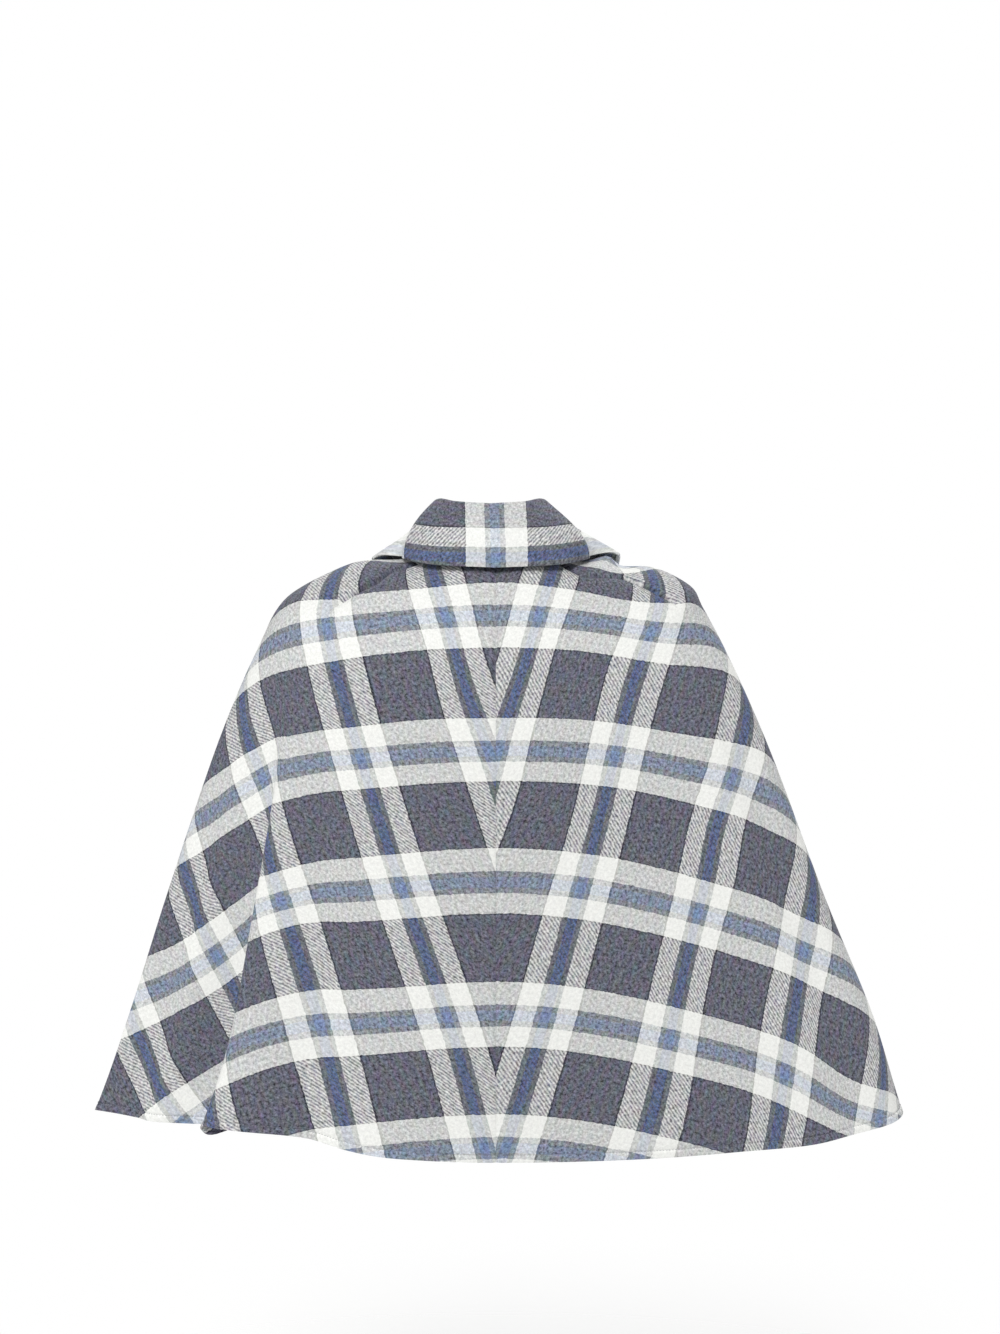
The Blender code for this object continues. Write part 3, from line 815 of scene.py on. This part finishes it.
def stitch_tree(material):
    """Nodes that sew a run of stitches along each line of a curve."""
    tree = bpy.data.node_groups.new("edge_stitching", "GeometryNodeTree")
    face = tree.interface
    face.new_socket("Lines", in_out="INPUT", socket_type="NodeSocketGeometry")
    for name in ("Spacing", "Stitch length", "Thread"):
        face.new_socket(name, in_out="INPUT", socket_type="NodeSocketFloat")
    face.new_socket("Stitches", in_out="OUTPUT", socket_type="NodeSocketGeometry")
    given = add_node(tree, "NodeGroupInput", {}, {})
    spaced = add_node(tree, "GeometryNodeResampleCurve", {"mode": "LENGTH"},
                      {"Curve": given.outputs["Lines"], "Length": given.outputs["Spacing"]})
    points = add_node(tree, "GeometryNodeCurveToPoints", {"mode": "EVALUATED"},
                      {"Curve": spaced.outputs[0]})
    turned = add_node(tree, "FunctionNodeAlignRotationToVector", {"axis": "X"},
                      {"Vector": points.outputs["Tangent"]})
    bead = add_node(tree, "GeometryNodeMeshUVSphere", {}, {"Segments": 6, "Rings": 4, "Radius": 0.5})
    size = add_node(tree, "ShaderNodeCombineXYZ", {},
                    {"X": given.outputs["Stitch length"], "Y": given.outputs["Thread"],
                     "Z": given.outputs["Thread"]})
    stitch = add_node(tree, "GeometryNodeTransform", {},
                      {"Geometry": bead.outputs[0], "Scale": size.outputs[0]})
    sewn = add_node(tree, "GeometryNodeInstanceOnPoints", {},
                    {"Points": points.outputs["Points"], "Instance": stitch.outputs[0],
                     "Rotation": turned.outputs[0]})
    real = add_node(tree, "GeometryNodeRealizeInstances", {}, {"Geometry": sewn.outputs[0]})
    coloured = add_node(tree, "GeometryNodeSetMaterial", {},
                        {"Geometry": real.outputs[0], "Material": material})
    add_node(tree, "NodeGroupOutput", {}, {"Stitches": coloured.outputs[0]})
    return tree


def stitches(name, lines, material):
    """Stitches along lines of points, as one plain mesh."""
    curve = bpy.data.curves.new(name + "_lines", "CURVE")
    curve.dimensions = "3D"
    for line in lines:
        spline = curve.splines.new("POLY")
        spline.points.add(len(line) - 1)
        spline.points.foreach_set("co", np.column_stack((line, np.ones(len(line)))).reshape(-1))
    guide = bpy.data.objects.new(name + "_lines", curve)
    bpy.context.scene.collection.objects.link(guide)
    tree = stitch_tree(material)
    sewing = guide.modifiers.new("sewing", "NODES")
    sewing.node_group = tree
    values = {"Spacing": STITCH_SPACING, "Stitch length": STITCH_LENGTH, "Thread": THREAD}
    for socket in tree.interface.items_tree:
        if socket.name in values:
            sewing[socket.identifier] = values[socket.name]
    ready = guide.evaluated_get(bpy.context.evaluated_depsgraph_get())
    piece = bpy.data.objects.new(name, bpy.data.meshes.new_from_object(ready))
    bpy.context.scene.collection.objects.link(piece)
    piece.data.name = name
    bpy.data.objects.remove(guide)
    return piece


def make_floor(level, reach):
    """A pale floor of matte studio paper that fades into the white surroundings."""
    paper = bpy.data.materials.new("matte_studio_paper")
    paper.use_nodes = True
    tree = paper.node_tree
    shader = tree.nodes["Principled BSDF"]
    shader.inputs["Roughness"].default_value = 0.95
    where = add_node(tree, "ShaderNodeTexCoord", {}, {})
    cloud = add_node(tree, "ShaderNodeTexNoise", {}, {"Vector": where.outputs["Object"], "Scale": 0.6})
    tone = add_node(tree, "ShaderNodeMix", {"data_type": "RGBA"},
                    {"Factor": cloud.outputs["Fac"], 6: linear("#F3F3F2"), 7: linear("#F7F7F6")})
    tree.links.new(tone.outputs[2], shader.inputs["Base Color"])
    away = add_node(tree, "ShaderNodeVectorMath", {"operation": "LENGTH"}, {0: where.outputs["Object"]})
    fade = add_node(tree, "ShaderNodeMapRange", {"interpolation_type": "SMOOTHSTEP"},
                    {"Value": away.outputs["Value"], "From Min": -level, "From Max": reach,
                     "To Min": 1.0, "To Max": 0.0})
    tree.links.new(fade.outputs[0], shader.inputs["Alpha"])
    mesh = bpy.data.meshes.new("floor")
    corners = [(x * reach, y * reach, level) for x, y in ((-1, -1), (1, -1), (1, 1), (-1, 1))]
    mesh.from_pydata(corners, [], [(0, 1, 2, 3)])
    mesh.materials.append(paper)
    floor = bpy.data.objects.new("floor", mesh)
    bpy.context.scene.collection.objects.link(floor)
    return floor


def aimed(name, data, place, target):
    """A light or a camera at a place, looking at a target."""
    thing = bpy.data.objects.new(name, data)
    thing.location = place
    thing.rotation_euler = (Vector(target) - Vector(place)).to_track_quat("-Z", "Y").to_euler()
    bpy.context.scene.collection.objects.link(thing)
    return thing


def soft_light(name, place, target, size, power):
    """A round area light, with its size in metres and its power in watts."""
    lamp = bpy.data.lights.new(name, "AREA")
    lamp.shape = "DISK"
    lamp.size = size
    lamp.energy = power
    return aimed(name, lamp, place, target)


def make_studio():
    """A white backdrop, a little light from all round, a large soft light high behind the camera, one on
    each side and one on the hidden side."""
    scene = bpy.context.scene
    scene.view_settings.view_transform = "Standard"
    world = bpy.data.worlds.new("studio")
    world.use_nodes = True
    tree = world.node_tree
    tree.nodes["Background"].inputs["Color"].default_value = linear("#FFFFFF")
    ray = add_node(tree, "ShaderNodeLightPath", {}, {})
    glow = add_node(tree, "ShaderNodeMix", {"data_type": "FLOAT"},
                    {0: ray.outputs["Is Camera Ray"], 2: 0.22, 3: 1.0})
    tree.links.new(glow.outputs[0], tree.nodes["Background"].inputs["Strength"])
    scene.world = world
    middle = (0.0, 0.0, -0.3)
    soft_light("key", (-0.69, -4.93, 3.05), middle, size=1.6, power=280)
    soft_light("left_fill", (-4.3, -0.7, 0.3), middle, size=2.0, power=65)
    soft_light("right_fill", (4.3, -0.7, 0.3), middle, size=2.0, power=65)
    soft_light("front", (0.8, 4.5, 3.4), middle, size=2.0, power=210)
    lens = bpy.data.cameras.new("camera")
    lens.lens = 78.5
    lens.sensor_width = 36.0
    aim = Vector((0.0044, 0.0, -0.134))
    tilt = math.radians(8.5)
    distance = 3.2
    place = aim + distance * Vector((0.0, -math.cos(tilt), math.sin(tilt)))
    scene.camera = aimed("camera", lens, place, aim)


def make_scene():
    for leftover in list(bpy.data.objects):
        bpy.data.objects.remove(leftover, do_unlink=True)
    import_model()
    wool = wool_material()
    left, left_lines = half_piece("cape_left", -1, wool)
    right, right_lines = half_piece("cape_right", 1, wool)
    stand = collar_piece("collar_band", stand_profile, CLOTH, wool)
    fall = collar_piece("collar_turn", fall_profile, COLLAR_CLOTH, wool)
    sewing = stitches("edge_stitches", left_lines + right_lines, thread_material())
    pieces = ((left, "half_left", "body_wool"), (right, "half_right", "body_wool"),
              (stand, "collar_stand", "collar_wool"), (fall, "collar_fall", "collar_wool"))
    for piece, node, slot in pieces:
        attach(piece, "root")
        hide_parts(node)
    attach(sewing, "root")
    make_floor(FLOOR_LEVEL, FLOOR_REACH)
    make_studio()


make_scene()
